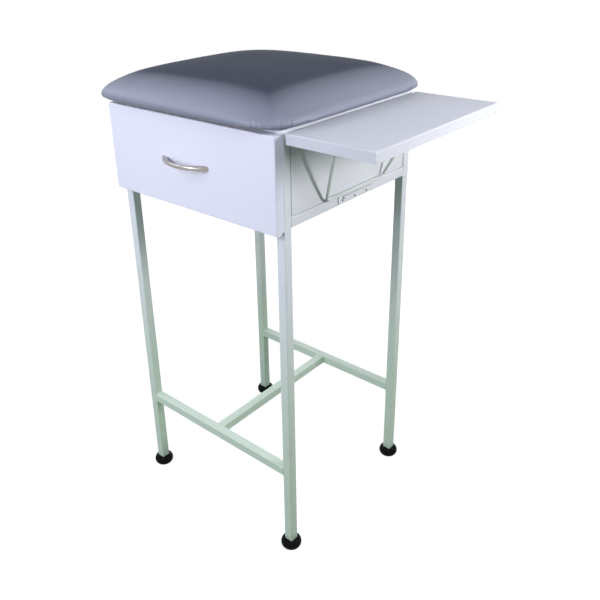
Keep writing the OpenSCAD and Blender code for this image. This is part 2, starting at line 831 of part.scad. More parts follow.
module wire_path(steps, i = 0) {
    run = steps[i][0];
    turn = steps[i][1];
    rotate([0, 90, 0]) cylinder(r = wire_r, h = run);
    if (i + 1 < len(steps)) translate([run, 0, 0]) {
        wire_elbow(turn);
        translate([0, sign(turn) * bend_r, 0]) rotate([0, 0, turn])
            translate([0, -sign(turn) * bend_r, 0]) wire_path(steps, i + 1);
    }
}

module strut_half() {
    leg = norm([pivot_half - foot_half, strut_len]) - 2 * bend_in;
    wire_path([[foot_half - bend_in, bend_turn], [leg, -bend_turn], [stub_len, 0]]);
}

module strut() {
    placed() color(enamel) translate([foot_x, strut_back, foot_z]) rotate([0, strut_lean, 0])
        rotate([90, 0, 90]) for (m = [0, 1]) mirror([m, 0, 0]) strut_half();
}

// Clips: sheet saddles under the shelf that hold the strut's two stubs

module clip_section() {
    hole = wire_r + pin_gap;
    wrap = hole + clip_t;
    difference() {
        union() {
            circle(wrap);
            translate([-wrap, 0]) square([2 * wrap, wire_r + 2 * pin_gap]);
            translate([-clip_ear, wire_r + 2 * pin_gap - clip_t]) square([2 * clip_ear, clip_t]);
        }
        circle(hole);
        translate([-hole, 0]) square([2 * hole, wrap]);
        translate([-clip_ear, wire_r + 2 * pin_gap]) square([2 * clip_ear, wrap]);
    }
}

module strut_clips() {
    place = pivot_half + bend_in + stub_len / 2;
    placed() color(steel) for (s = [-1, 1])
        translate([pivot_x, strut_back + s * place, pivot_z]) rotate([90, 0, 0])
            linear_extrude(clip_w, center = true) clip_section();
}

// Catch strip: an angle over the outer edge of the right-hand rail, under the strut's foot

module catch_strip() {
    deep = panel_recess + strip_t - run_gap;
    groove = strip_len * groove_len_share - groove_h;
    groove_z = strip_top_z - strip_h * groove_place_share;
    placed() color(enamel) translate([0, strip_back, 0]) difference() {
        union() {
            translate([frame_w / 2, -strip_len / 2, strip_top_z - strip_h])
                cube([strip_t, strip_len, strip_h]);
            translate([strip_face_x - deep, -strip_len / 2, cabinet_rail_top])
                cube([deep, strip_len, strip_t]);
        }
        translate([strip_face_x - groove_depth, 0, groove_z]) {
            translate([0, -groove / 2, -groove_h / 2]) cube([groove_depth + cut, groove, groove_h]);
            for (s = [-1, 1]) translate([0, s * groove / 2, 0]) rotate([0, 90, 0])
                cylinder(d = groove_h, h = groove_depth + cut);
        }
    }
}

module catch_screws() {
    placed() color(steel)
        for (i = [0:len(strip_screw_shares) - 1])
            translate([
                strip_face_x,
                strip_back + strip_len * strip_screw_shares[i],
                strip_top_z - strip_h + strip_h * strip_screw_z_shares[i]
            ]) rotate([0, 90, 0]) cylinder(d = strip_head_d, h = strip_t);
}

leg_front_left();
leg_front_right();
leg_back_left();
leg_back_right();
bottom_rail_front();
bottom_rail_back();
bottom_rail_left();
bottom_rail_right();
top_rail_front();
top_rail_back();
top_rail_left();
top_rail_right();
stretcher_front();
stretcher_back();
stretcher_centre();
side_panel_left();
side_panel_right();
back_panel();
top_deck();
foot_front_left();
foot_front_right();
foot_back_left();
foot_back_right();
runner_bearer_left();
runner_bearer_right();
runner_outer_left();
runner_outer_right();
runner_inner_left();
runner_inner_right();
ball_cage_left();
ball_cage_right();
drawer_front();
drawer_inner_front();
drawer_side_left();
drawer_side_right();
drawer_back();
drawer_bottom();
drawer_handle();
handle_screws();
cushion_board();
cushion();
cushion_screws();
shelf_tray();
hinge_leaf_fixed();
hinge_leaf_moving();
hinge_pin();
hinge_screws();
strut();
strut_clips();
catch_strip();
catch_screws();
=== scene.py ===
import math

import bmesh
import bpy
import numpy as np
from mathutils import Matrix, Vector


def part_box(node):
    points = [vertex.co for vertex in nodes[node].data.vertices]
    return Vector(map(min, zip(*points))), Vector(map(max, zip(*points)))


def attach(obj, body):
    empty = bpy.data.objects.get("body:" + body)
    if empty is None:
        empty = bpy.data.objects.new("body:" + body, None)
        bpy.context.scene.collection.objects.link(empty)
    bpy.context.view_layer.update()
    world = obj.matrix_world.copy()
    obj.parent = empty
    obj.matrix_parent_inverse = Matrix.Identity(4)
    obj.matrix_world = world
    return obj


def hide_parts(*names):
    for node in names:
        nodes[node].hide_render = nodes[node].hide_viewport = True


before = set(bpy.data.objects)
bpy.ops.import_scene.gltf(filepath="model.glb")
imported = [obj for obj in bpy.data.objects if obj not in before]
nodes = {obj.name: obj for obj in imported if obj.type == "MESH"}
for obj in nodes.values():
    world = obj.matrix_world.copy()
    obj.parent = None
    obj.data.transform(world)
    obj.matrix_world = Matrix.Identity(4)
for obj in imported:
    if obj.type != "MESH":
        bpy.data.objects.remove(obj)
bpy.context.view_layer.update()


def mm(*values):
    """Millimetres of the row frame as a point in metres."""
    return Vector([v / 1000.0 for v in values])


# Sizes of the padded top in metres, and the point under its middle

PAD_W, PAD_D = 0.510, 0.498
LEAN = 0.004
BELLY, UNDER = 0.006, 0.010
SHOULDER_H, SHOULDER_W = 0.030, 0.053
CROWN, CROWN_POWER = 0.0275, 3
CORNER = 0.26
PLAN_TO_ROW_X, PLAN_TO_ROW_Y = -71.15, -2.1
PAD = mm(-15 + PLAN_TO_ROW_X, 6.5 + PLAN_TO_ROW_Y, 940.5)


# Camera, fitted to the edges of the frame, drawer and shelf in the photograph

camera_data = bpy.data.cameras.new("view_camera")
camera = bpy.data.objects.new("view_camera", camera_data)
bpy.context.scene.collection.objects.link(camera)
right = Vector((0.76134703, 0.64806677, -0.01897797))
up = Vector((-0.2504228, 0.32094374, 0.91339123))
back = Vector((0.59802936, -0.69065519, 0.40664026))
turn = Matrix((right, up, back)).transposed().to_4x4()
camera.matrix_world = Matrix.Translation(mm(906.35, -1065.7, 1238.7)) @ turn
camera_data.sensor_fit = "HORIZONTAL"
camera_data.sensor_width = 36.0
camera_data.lens = 42.077
camera_data.shift_x = 0.01875
camera_data.shift_y = -0.0904
camera_data.clip_start = 0.05
camera_data.clip_end = 50.0
bpy.context.scene.camera = camera
bpy.context.scene.view_settings.view_transform = "Standard"


# Material kit

def map_range(tree, source, low, high, to_low=0.0, to_high=1.0, smooth=False):
    """Maps a socket's value from one range to another."""
    n = tree.nodes.new("ShaderNodeMapRange")
    if smooth:
        n.interpolation_type = "SMOOTHSTEP"
    n.inputs["From Min"].default_value = low
    n.inputs["From Max"].default_value = high
    n.inputs["To Min"].default_value = to_low
    n.inputs["To Max"].default_value = to_high
    tree.links.new(source, n.inputs["Value"])
    return n.outputs[0]


class Graph:
    """A material's node tree, with short calls that take and return sockets."""

    def __init__(self, name):
        self.mat = bpy.data.materials.new(name)
        self.mat.use_nodes = True
        self.tree = self.mat.node_tree
        self.tree.nodes.clear()
        out = self.tree.nodes.new("ShaderNodeOutputMaterial")
        self.bsdf = self.tree.nodes.new("ShaderNodeBsdfPrincipled")
        self.tree.links.new(self.bsdf.outputs["BSDF"], out.inputs["Surface"])
        self.place = self.tree.nodes.new("ShaderNodeTexCoord").outputs["Object"]

    def set(self, **values):
        """Sets the shader's own sockets to constants."""
        for key, value in values.items():
            self.bsdf.inputs[key.replace("_", " ")].default_value = value

    def stretched(self, scale):
        """The place on the object, scaled along each axis."""
        n = self.tree.nodes.new("ShaderNodeMapping")
        n.inputs["Scale"].default_value = scale
        self.tree.links.new(self.place, n.inputs["Vector"])
        return n.outputs["Vector"]

    def axes(self):
        """The place on the object, with a socket for each axis."""
        n = self.tree.nodes.new("ShaderNodeSeparateXYZ")
        self.tree.links.new(self.place, n.inputs["Vector"])
        return n.outputs

    def noise(self, scale, detail, rough, vector=None, distortion=0.0):
        n = self.tree.nodes.new("ShaderNodeTexNoise")
        n.inputs["Scale"].default_value = scale
        n.inputs["Detail"].default_value = detail
        n.inputs["Roughness"].default_value = rough
        n.inputs["Distortion"].default_value = distortion
        self.tree.links.new(self.place if vector is None else vector, n.inputs["Vector"])
        return n.outputs["Fac"]

    def voronoi(self, scale, feature="F1"):
        n = self.tree.nodes.new("ShaderNodeTexVoronoi")
        n.feature = feature
        n.inputs["Scale"].default_value = scale
        self.tree.links.new(self.place, n.inputs["Vector"])
        return n.outputs["Distance"]

    def span(self, source, *limits, **options):
        return map_range(self.tree, source, *limits, **options)

    def math(self, kind, *values):
        """One step of arithmetic; each value is a number or a socket."""
        n = self.tree.nodes.new("ShaderNodeMath")
        n.operation = kind
        for socket, value in zip(n.inputs, values):
            if isinstance(value, (int, float)):
                socket.default_value = value
            else:
                self.tree.links.new(value, socket)
        return n.outputs[0]

    def away(self, source, middle):
        """The distance of a coordinate from a middle."""
        return self.math("ABSOLUTE", self.math("SUBTRACT", source, middle))

    def blend(self, factor, a, b):
        """Mix of two colours; each is a colour or a socket."""
        n = self.tree.nodes.new("ShaderNodeMix")
        n.data_type = "RGBA"
        self.tree.links.new(factor, n.inputs["Factor"])
        for socket, value in ((n.inputs[6], a), (n.inputs[7], b)):
            if isinstance(value, tuple):
                socket.default_value = (*value, 1.0)
            else:
                self.tree.links.new(value, socket)
        return n.outputs[2]

    def bump(self, height, distance, strength, before=None):
        n = self.tree.nodes.new("ShaderNodeBump")
        n.inputs["Distance"].default_value = distance
        n.inputs["Strength"].default_value = strength
        self.tree.links.new(height, n.inputs["Height"])
        if before is not None:
            self.tree.links.new(before, n.inputs["Normal"])
        return n.outputs["Normal"]

    def finish(self, colour, rough, normal):
        self.tree.links.new(colour, self.bsdf.inputs["Base Color"])
        if rough is not None:
            self.tree.links.new(rough, self.bsdf.inputs["Roughness"])
        self.tree.links.new(normal, self.bsdf.inputs["Normal"])
        return self.mat


# Materials: powder coat

WHITE, SHADE = (0.80, 0.83, 0.87), (0.77, 0.80, 0.845)
PEEL_SCALE, PEEL_DEPTH = 310.0, 0.00006
# Painted shade along a side panel's joints: its width, how much the leg's step hides, and its colour
JOINT_WIDTH, JOINT_HIDDEN = 0.0011, 0.0024
JOINT_PAINTED_SHADE = (0.05, 0.06, 0.05)
# Painted shade in the strip's groove and at its end
GROOVE_HALF, GROOVE_EDGE = 0.0003, 0.0013
STRIP_END_SHADE = 0.0012


def orange_peel(g):
    return g.bump(g.noise(PEEL_SCALE, 2.0, 0.5), PEEL_DEPTH, 0.3)


def coat(g, light, dark, rough=0.34):
    """Colour, gloss and relief of powder coat, with slow changes of tone and of gloss."""
    wave = g.noise(14.0, 2.0, 0.5)
    cloud = g.noise(4.0, 3.0, 0.5)
    colour = g.blend(g.span(cloud, 0.25, 0.75, smooth=True), light, dark)
    gloss = g.span(wave, 0.2, 0.8, rough - 0.04, rough + 0.05)
    return colour, gloss, orange_peel(g)


def enamel_material(name, light, dark, rough=0.34, level=0.5):
    g = Graph(name)
    g.set(Specular_IOR_Level=level, IOR=1.5)
    return g.finish(*coat(g, light, dark, rough))


def panel_material(name):
    """The coat on a side panel, with painted shade along its front, back and lower edges, where it meets the
    legs and the rail.
    """
    low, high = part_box(name)
    g = Graph("enamel_" + name)
    colour, gloss, relief = coat(g, WHITE, SHADE)
    axes = g.axes()
    front = low.y + JOINT_HIDDEN
    joints = (
        ("Y", front, front + JOINT_WIDTH),
        ("Y", high.y, high.y - JOINT_WIDTH),
        ("Z", low.z, low.z + JOINT_WIDTH),
    )
    # Painted shade, dark along each joint with a leg or the rail
    for axis, edge, inner in joints:
        line = g.span(axes[axis], edge, inner, 0.85, 0.0, smooth=True)
        colour = g.blend(line, colour, JOINT_PAINTED_SHADE)
    return g.finish(colour, gloss, relief)


def strip_material(box):
    """The coat on the pressed strip, with painted shade in its groove and at its end where it meets the rail.
    """
    g = Graph("enamel_strip")
    axes = g.axes()
    low, high = box
    height, length = high.z - low.z, high.y - low.y
    groove = high.z - 0.3 * height
    # Painted shade in the pressed groove
    depth = g.span(g.away(axes["Z"], groove), GROOVE_HALF, GROOVE_EDGE, 0.75, 0.0, smooth=True)
    along = g.away(axes["Y"], (low.y + high.y) / 2)
    reach = g.span(along, 0.40 * length, 0.43 * length, 1.0, 0.0)
    cloud = g.noise(9.0, 3.0, 0.5)
    colour = g.blend(g.span(cloud, 0.25, 0.75, smooth=True), WHITE, SHADE)
    colour = g.blend(g.math("MULTIPLY", depth, reach), colour, (0.10, 0.11, 0.12))
    # Painted shade at the strip's end where it meets the rail
    end = g.span(axes["Y"], low.y, low.y + STRIP_END_SHADE, 0.8, 0.0, smooth=True)
    colour = g.blend(end, colour, (0.07, 0.08, 0.08))
    return g.finish(colour, g.span(cloud, 0.3, 0.7, 0.3, 0.4), orange_peel(g))


def tube_material():
    """The stand's coat. Its green-grey towards the floor, darker and greener low down, is painted shade and
    green light from the floor; it follows the photograph.
    """
    g = Graph("enamel_tube")
    # Painted shade and green floor light: darker and greener towards the floor
    height = g.math("MULTIPLY_ADD", g.noise(9.0, 3.0, 0.6), 0.12, g.axes()["Z"])
    colour = g.blend(g.span(height, 0.25, 0.85, smooth=True), (0.685, 0.82, 0.675), (0.79, 0.83, 0.86))
    cloud = g.noise(30.0, 5.0, 0.6)
    colour = g.blend(g.span(cloud, 0.45, 0.75, 0.0, 0.14), colour, (0.52, 0.56, 0.54))
    wave = g.noise(60.0, 3.0, 0.6)
    soft = g.bump(wave, 0.0003, 0.35)
    fine = g.bump(g.noise(520.0, 3.0, 0.55), 0.00012, 0.5, soft)
    return g.finish(colour, g.span(wave, 0.3, 0.7, 0.3, 0.42), fine)


# Materials: metal, rubber, wood and vinyl

def metal_material(name, colour, rough, streak, amount, grain=260.0):
    """Plated steel with fine lines along one direction, and faint stains."""
    g = Graph(name)
    lines = g.noise(grain, 5.0, 0.65, g.stretched(streak))
    cloud = g.noise(24.0, 4.0, 0.6)
    base = g.blend(g.span(lines, 0.3, 0.7), colour, tuple(c * 0.72 for c in colour))
    stain = g.span(cloud, 0.5, 0.75, 0.0, 0.2)
    base = g.blend(stain, base, tuple(c * 0.6 for c in colour))
    gloss = g.span(lines, 0.25, 0.75, rough - 0.08, rough + 0.1)
    g.set(Metallic=1.0)
    return g.finish(base, gloss, g.bump(lines, 0.00008, amount))


def rubber_material():
    """Dull black rubber with small pits."""
    g = Graph("rubber_black")
    cloud = g.noise(60.0, 4.0, 0.6)
    colour = g.blend(g.span(cloud, 0.4, 0.75), (0.003, 0.003, 0.003), (0.008, 0.008, 0.008))
    g.set(Specular_IOR_Level=0.05)
    gloss = g.span(cloud, 0.3, 0.7, 0.42, 0.6)
    return g.finish(colour, gloss, g.bump(g.voronoi(900.0), 0.0001, 0.3))


def plywood_material():
    """Pale wood with its grain along X."""
    g = Graph("plywood")
    grain = g.noise(34.0, 6.0, 0.65, g.stretched((0.1, 1, 8)), 0.6)
    colour = g.blend(g.span(grain, 0.3, 0.7), (0.58, 0.42, 0.25), (0.38, 0.25, 0.13))
    g.set(Roughness=0.7)
    return g.finish(colour, None, g.bump(grain, 0.0003, 0.5))


def vinyl_material():
    """Smooth upholstery vinyl with a pressed pebble grain.

    The shoulder's paler tone is a painted highlight and its stronger gloss goes with it; both imitate the
    light in the photograph.
    """
    g = Graph("vinyl_blue_grey")
    pebble = g.voronoi(760.0, "SMOOTH_F1")
    crease = g.voronoi(430.0, "DISTANCE_TO_EDGE")
    slow = g.noise(7.0, 4.0, 0.55)
    fine = g.noise(130.0, 4.0, 0.6)
    colour = g.blend(g.span(slow, 0.3, 0.7), (0.066, 0.080, 0.108), (0.056, 0.069, 0.094))
    axes = g.axes()
    sides = [
        g.math("DIVIDE", g.away(axes[axis], middle), half)
        for axis, middle, half in (("X", PAD.x, PAD_W / 2), ("Y", PAD.y, PAD_D / 2))
    ]
    reach = g.math("MAXIMUM", *sides)
    # Painted highlight: a paler band over the shoulder
    colour = g.blend(g.span(reach, 0.62, 0.93, smooth=True), colour, (0.205, 0.226, 0.285))
    # Less pale on the lowest sides, where the painted highlight fades
    colour = g.blend(g.span(reach, 0.93, 1.0, smooth=True), colour, (0.150, 0.168, 0.215))
    valley = g.span(crease, 0.0, 0.12, 0.25, 0.0)
    colour = g.blend(valley, colour, (0.075, 0.086, 0.112))
    relief = g.bump(pebble, 0.00016, 0.25, g.bump(crease, 0.00018, 0.3))
    g.set(IOR=1.5, Specular_Tint=(0.9, 0.93, 1.0, 1.0))
    # The export drops a linked specular level, so the exported pad has the shader's default there
    g.tree.links.new(g.span(reach, 0.7, 0.97, 0.03, 1.0), g.bsdf.inputs["Specular IOR Level"])
    return g.finish(colour, g.span(fine, 0.3, 0.7, 0.52, 0.58), relief)


enamel = enamel_material("enamel_white", WHITE, SHADE)
# The shelf tray has the white coat made darker, painted shade over the whole tray, and less glossy
enamel_tray_painted_shade = enamel_material("enamel_tray_painted_shade", (0.68, 0.71, 0.745), (0.65, 0.68, 0.72), 0.5, 0.15)
enamel_front = enamel_material("enamel_front", (0.83, 0.845, 0.93), (0.805, 0.82, 0.91), 0.3)
enamel_wire = enamel_material("enamel_wire", (0.76, 0.80, 0.77), (0.66, 0.70, 0.67), 0.36)
enamel_tube = tube_material()
zinc = metal_material("zinc_steel", (0.66, 0.68, 0.71), 0.34, (1, 0.06, 1), 0.3)
dark_zinc = metal_material("dark_zinc", (0.16, 0.165, 0.17), 0.38, (1, 1, 1), 0.3)
nickel = metal_material("satin_nickel", (0.39, 0.375, 0.35), 0.26, (0.05, 1, 1), 0.2, 620.0)
rubber = rubber_material()
plywood = plywood_material()
vinyl = vinyl_material()


# Looks of the carried-over solids

CORNERS = ["front_left", "front_right", "back_left", "back_right"]
SIDES = ["left", "right"]
legs = ["leg_" + corner for corner in CORNERS]
feet = ["foot_" + corner for corner in CORNERS]
stretchers = ["stretcher_front", "stretcher_back", "stretcher_centre"]
rails = [level + "_rail_" + side for level in ("bottom", "top") for side in ["front", "back"] + SIDES]
side_panels = ["side_panel_" + side for side in SIDES]
drawer_box = ["drawer_inner_front", "drawer_back", "drawer_bottom"]
drawer_box += ["drawer_side_" + side for side in SIDES]
bearers = ["runner_bearer_" + side for side in SIDES]
runners = ["runner_%s_%s" % (part, side) for part in ("outer", "inner") for side in SIDES]
cages = ["ball_cage_" + side for side in SIDES]
leaves = ["hinge_leaf_fixed", "hinge_leaf_moving"]


def dress(names, material):
    for name in names:
        obj = nodes[name]
        obj.data.materials.clear()
        obj.data.materials.append(material)


def soften(names, width):
    """Breaks the sharp edges of folded sheet, cut tube and screw heads."""
    for name in names:
        m = nodes[name].modifiers.new("edge", "BEVEL")
        m.width = width
        m.segments = 2
        m.limit_method = "ANGLE"
        m.angle_limit = math.radians(40)
        m.harden_normals = False


dress(legs + stretchers, enamel_tube)
dress(rails + ["back_panel", "top_deck"] + bearers + drawer_box + leaves, enamel)
for name in side_panels:
    dress([name], panel_material(name))
dress(["shelf_tray"], enamel_tray_painted_shade)
dress(["catch_strip"], strip_material(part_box("catch_strip")))
dress(["drawer_front"], enamel_front)
dress(["strut"], enamel_wire)
dress(runners + cages + ["handle_screws", "cushion_screws", "hinge_pin", "hinge_screws", "strut_clips"], zinc)
dress(["catch_screws"], dark_zinc)
dress(feet, rubber)
dress(["cushion_board"], plywood)
soften(["drawer_front", "shelf_tray", "top_deck"], 0.0008)
soften(legs + stretchers + rails + side_panels + ["back_panel", "catch_strip", "strut_clips"], 0.0006)
soften(leaves + ["handle_screws", "catch_screws", "hinge_screws"], 0.0002)


# Bow handle

BOW_THICK, BOW_FOOT, BOW_TIP = 0.006, 0.018, 0.007
BOW_HEIGHT, BOW_FLARE = 0.0078, 0.0036
BOW_THINNEST = 0.0006
BOW_STEPS, BOW_POINTS = 72, 28
BOW_ROUND = 0.62
BOW_TIP_LEAST = 0.03
BOW_SHARE = 0.999


def signed_power(value, power):
    return math.copysign(abs(value) ** power, value)


def bow_handle():
    """The bow with its rounded section, which runs out flat onto the drawer front."""
    low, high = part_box("drawer_handle")
    middle = (low + high) / 2
    half, rise = (high.x - low.x) / 2, high.y - low.y
    outer = (half * half + rise * rise) / (2 * rise)
    span_in, rise_in = half - BOW_FOOT, rise - BOW_THICK
    inner = (span_in * span_in + rise_in * rise_in) / (2 * rise_in)
    bm = bmesh.new()
    rings = []
    for i in range(BOW_STEPS + 1):
        x = -math.cos(math.pi * i / BOW_STEPS) * half * BOW_SHARE
        out = rise - outer + math.sqrt(outer * outer - x * x)
        into = 0.0
        if abs(x) < span_in:
            into = max(0.0, rise_in - inner + math.sqrt(inner * inner - x * x))
        tip = max(0.0, (abs(x) - (half - BOW_TIP)) / BOW_TIP)
        tall = BOW_HEIGHT + BOW_FLARE * (x / half) ** 2
        tall *= math.sqrt(max(BOW_TIP_LEAST, 1 - tip * tip))
        depth = max(BOW_THINNEST, out - into)
        ring = []
        for k in range(BOW_POINTS):
            a = 2 * math.pi * k / BOW_POINTS
            y = signed_power(math.cos(a), BOW_ROUND) * depth / 2
            z = signed_power(math.sin(a), BOW_ROUND) * tall / 2
            ring.append(bm.verts.new((middle.x + x, high.y - into - depth / 2 - y, middle.z + z)))
        rings.append(ring)
    join_rings(bm, rings)
    bm.faces.new(rings[0])
    bm.faces.new(rings[-1][::-1])
    return new_piece("bow_handle", bm, nickel)


def join_rings(bm, rings):
    """Faces between neighbouring closed rings with the same number of points."""
    for a, b in zip(rings, rings[1:]):
        for i in range(len(a)):
            j = (i + 1) % len(a)
            bm.faces.new((a[i], a[j], b[j], b[i]))


def new_piece(name, bm, material):
    mesh = bpy.data.meshes.new(name)
    bmesh.ops.recalc_face_normals(bm, faces=bm.faces)
    bm.to_mesh(mesh)
    bm.free()
    obj = bpy.data.objects.new(name, mesh)
    bpy.context.scene.collection.objects.link(obj)
    finish_mesh(obj, material)
    return obj


def finish_mesh(obj, material):
    """One material and smooth shading."""
    obj.data.materials.clear()
    obj.data.materials.append(material)
    for polygon in obj.data.polygons:
        polygon.use_smooth = True


handle_piece = bow_handle()
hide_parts("drawer_handle")
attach(handle_piece, "drawer")


# Padded top

RING_POINTS = 160
UNDERSIDE_SHARES = (0.25, 0.5, 0.72, 0.88)
BELLY_STEPS, SHOULDER_STEPS, TOP_STEPS = 6, 14, 12
PAD_START_INSET = 0.003
VOXEL, MOST_LIFT = 0.0055, 0.0045
HELD_LOW, HELD_HIGH = 0.001, 0.006
CLOTH_FRAMES = 20
EVEN_ROUNDS, KEPT_SHARE, SPREAD_SHARE = 30, 0.4, 0.6
GATHER_DEPTH, RIPPLE_DEPTH = 0.0009, 0.0010


def smooth(x, low, high):
    t = min(1.0, max(0.0, (x - low) / (high - low)))
    return t * t * (3 - 2 * t)


def crown(x, y):
    """The rise of the top at a point, counted from the pad's middle."""
    across = 1 - (abs(x) / (PAD_W / 2)) ** CROWN_POWER
    return CROWN * across * (1 - (abs(y) / (PAD_D / 2)) ** CROWN_POWER)


def pad_form(inset_all):
    """Rings of the pad, from the middle of the underside to the middle of the top."""
    def ring(inset):
        """A squared-off oval, set in from the pad's outline."""
        half_w, half_d = PAD_W / 2 - inset - inset_all, PAD_D / 2 - inset - inset_all
        angles = [2 * math.pi * i / RING_POINTS for i in range(RING_POINTS)]
        return [
            (half_w * signed_power(math.cos(a), CORNER), half_d * signed_power(math.sin(a), CORNER))
            for a in angles
        ]

    rings = [[(x * s, y * s, 0.0) for x, y in ring(UNDER)] for s in UNDERSIDE_SHARES]
    for k in range(BELLY_STEPS + 1):
        a = math.pi / 2 * k / BELLY_STEPS
        z = BELLY * (1 - math.cos(a))
        rings.append([(x, y, z) for x, y in ring(UNDER * (1 - math.sin(a)))])
    high = SHOULDER_H - inset_all
    for k in range(1, SHOULDER_STEPS + 1):
        a = math.pi / 2 * k / SHOULDER_STEPS
        lean = LEAN * (1 - math.cos(a))
        inset = (SHOULDER_W + LEAN) * (1 - math.cos(a))
        moved = [(x - lean, y + lean) for x, y in ring(inset)]
        rings.append([(x, y, BELLY + high * math.sin(a) + crown(x, y)) for x, y in moved])
    base = [(x - LEAN, y + LEAN) for x, y in ring(SHOULDER_W + LEAN)]
    for k in range(1, TOP_STEPS):
        s = 1 - k / TOP_STEPS
        rings.append([(x * s, y * s, BELLY + high + crown(x * s, y * s)) for x, y in base])
    bm = bmesh.new()
    rows = [[bm.verts.new(PAD + Vector(p)) for p in points] for points in rings]
    join_rings(bm, rows)
    low = bm.verts.new(PAD)
    top = bm.verts.new(PAD + Vector((0, 0, BELLY + high + CROWN)))
    for i in range(RING_POINTS):
        j = (i + 1) % RING_POINTS
        bm.faces.new((low, rows[0][j], rows[0][i]))
        bm.faces.new((rows[-1][i], rows[-1][j], top))
    return new_piece("padded_top", bm, vinyl)


def apply_all(obj):
    """Puts the modifiers' result into the object's own mesh."""
    graph = bpy.context.evaluated_depsgraph_get()
    mesh = bpy.data.meshes.new_from_object(obj.evaluated_get(graph), depsgraph=graph)
    old = obj.data
    obj.modifiers.clear()
    obj.data = mesh
    bpy.data.meshes.remove(old)
    mesh.name = obj.name


def fit_form(obj):
    """Brings the filled-out pad back to the length, depth and height that it was cut to."""
    spots = [v.co for v in obj.data.vertices]
    low = Vector([min(p[i] for p in spots) for i in range(3)])
    high = Vector([max(p[i] for p in spots) for i in range(3)])
    goal_low = PAD - Vector((PAD_W / 2, PAD_D / 2, 0))
    goal_high = PAD + Vector((PAD_W / 2, PAD_D / 2, BELLY + SHOULDER_H + CROWN))
    for vertex in obj.data.vertices:
        for i in range(3):
            share = (vertex.co[i] - low[i]) / (high[i] - low[i])
            vertex.co[i] = goal_low[i] + share * (goal_high[i] - goal_low[i])


def fill_cloth(obj, start):
    """Where each point of the cover goes under pressure, with its lower edge stapled to the board."""
    held = obj.vertex_groups.new(name="held")
    for i, p in enumerate(start):
        weight = 1.0 - smooth(p.z - PAD.z, HELD_LOW, HELD_HIGH)
        if weight > 0:
            held.add([i], weight, "REPLACE")
    cloth = obj.modifiers.new("cloth", "CLOTH")
    cloth.settings.quality = 5
    cloth.settings.mass = 0.4
    cloth.settings.use_pressure = True
    cloth.settings.uniform_pressure_force = 4.0
    cloth.settings.tension_stiffness = 25
    cloth.settings.compression_stiffness = 25
    cloth.settings.shear_stiffness = 12
    cloth.settings.bending_stiffness = 1.5
    cloth.settings.effector_weights.gravity = 0.0
    cloth.settings.vertex_group_mass = "held"
    cloth.point_cache.frame_start = 1
    cloth.point_cache.frame_end = CLOTH_FRAMES
    scene = bpy.context.scene
    for step in range(1, CLOTH_FRAMES + 1):
        scene.frame_set(step)
    graph = bpy.context.evaluated_depsgraph_get()
    moved = [v.co.copy() for v in obj.evaluated_get(graph).data.vertices]
    obj.modifiers.clear()
    scene.frame_set(1)
    return moved


def evened(lift, edges):
    """The lift of each point, evened out over the points that it shares an edge with."""
    count = np.bincount(edges.ravel(), minlength=len(lift))
    for _ in range(EVEN_ROUNDS):
        total = np.zeros(len(lift))
        np.add.at(total, edges[:, 0], lift[edges[:, 1]])
        np.add.at(total, edges[:, 1], lift[edges[:, 0]])
        lift = KEPT_SHARE * lift + SPREAD_SHARE * total / count
    return lift


def swell(obj):
    """Fills the cover out, and keeps only the outward part of it."""
    remesh = obj.modifiers.new("voxels", "REMESH")
    remesh.mode = "VOXEL"
    remesh.voxel_size = VOXEL
    apply_all(obj)
    start = [v.co.copy() for v in obj.data.vertices]
    normals = [v.normal.copy() for v in obj.data.vertices]
    moved = fill_cloth(obj, start)
    outward = [(b - a).dot(n) for a, b, n in zip(start, moved, normals)]
    lift = np.array([min(MOST_LIFT, max(0.0, way)) for way in outward])
    lift = evened(lift, np.array([e.vertices[:] for e in obj.data.edges]))
    for vertex, a, n, raised in zip(obj.data.vertices, start, normals, lift):
        vertex.co = a + n * float(raised)
        vertex.co.z = max(vertex.co.z, PAD.z)
    obj.vertex_groups.clear()


def pucker(obj):
    """Small gathers where the cover is drawn round each corner, and slack ripples beside them."""
    inner_w, inner_d = PAD_W / 2 - UNDER, PAD_D / 2 - UNDER
    for vertex in obj.data.vertices:
        q = vertex.co - PAD
        around = math.atan2(q.y / inner_d, q.x / inner_w)
        corner = (around / (math.pi / 2)) % 1.0
        near = smooth(1 - abs(corner - 0.5) * 2, 0.45, 0.95)
        height = 1 - smooth(q.z, 0.004, 0.026)
        low = smooth(q.z, -0.001, 0.003)
        run = around * 0.30
        wave = math.sin(run * 620 + 1.3 * math.sin(run * 90)) * (0.6 + 0.4 * math.sin(run * 210 + 0.7))
        slack = math.sin(run * 150 + q.z * 60) * 0.35
        push = (wave * GATHER_DEPTH + slack * RIPPLE_DEPTH) * near * height * low
        away = Vector((q.x, q.y, 0))
        if away.length > 1e-6:
            vertex.co += away.normalized() * push


pad = pad_form(PAD_START_INSET)
swell(pad)
finer = pad.modifiers.new("finer", "SUBSURF")
finer.levels = 1
finer.render_levels = 1
apply_all(pad)
fit_form(pad)
pucker(pad)
finish_mesh(pad, vinyl)
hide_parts("cushion")
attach(pad, "frame")


# Floor and surroundings

FLOOR_BOUNCE = (0.22, 0.36, 0.22, 1)
FLOOR_HALF = 6
WALLS, CEILING = 0.03, 0.02


def new_node(tree, kind, colour=None):
    n = tree.nodes.new(kind)
    if colour is not None:
        n.inputs["Color"].default_value = colour
    return n


def seen_directly(tree):
    """1 for rays from the camera and for rays that a mirror or glass passes on."""
    path = new_node(tree, "ShaderNodeLightPath")
    total = path.outputs["Is Camera Ray"]
    for name in ("Is Glossy Ray", "Is Transmission Ray"):
        more = new_node(tree, "ShaderNodeMath")
        more.operation = "MAXIMUM"
        tree.links.new(total, more.inputs[0])
        tree.links.new(path.outputs[name], more.inputs[1])
        total = more.outputs[0]
    return total


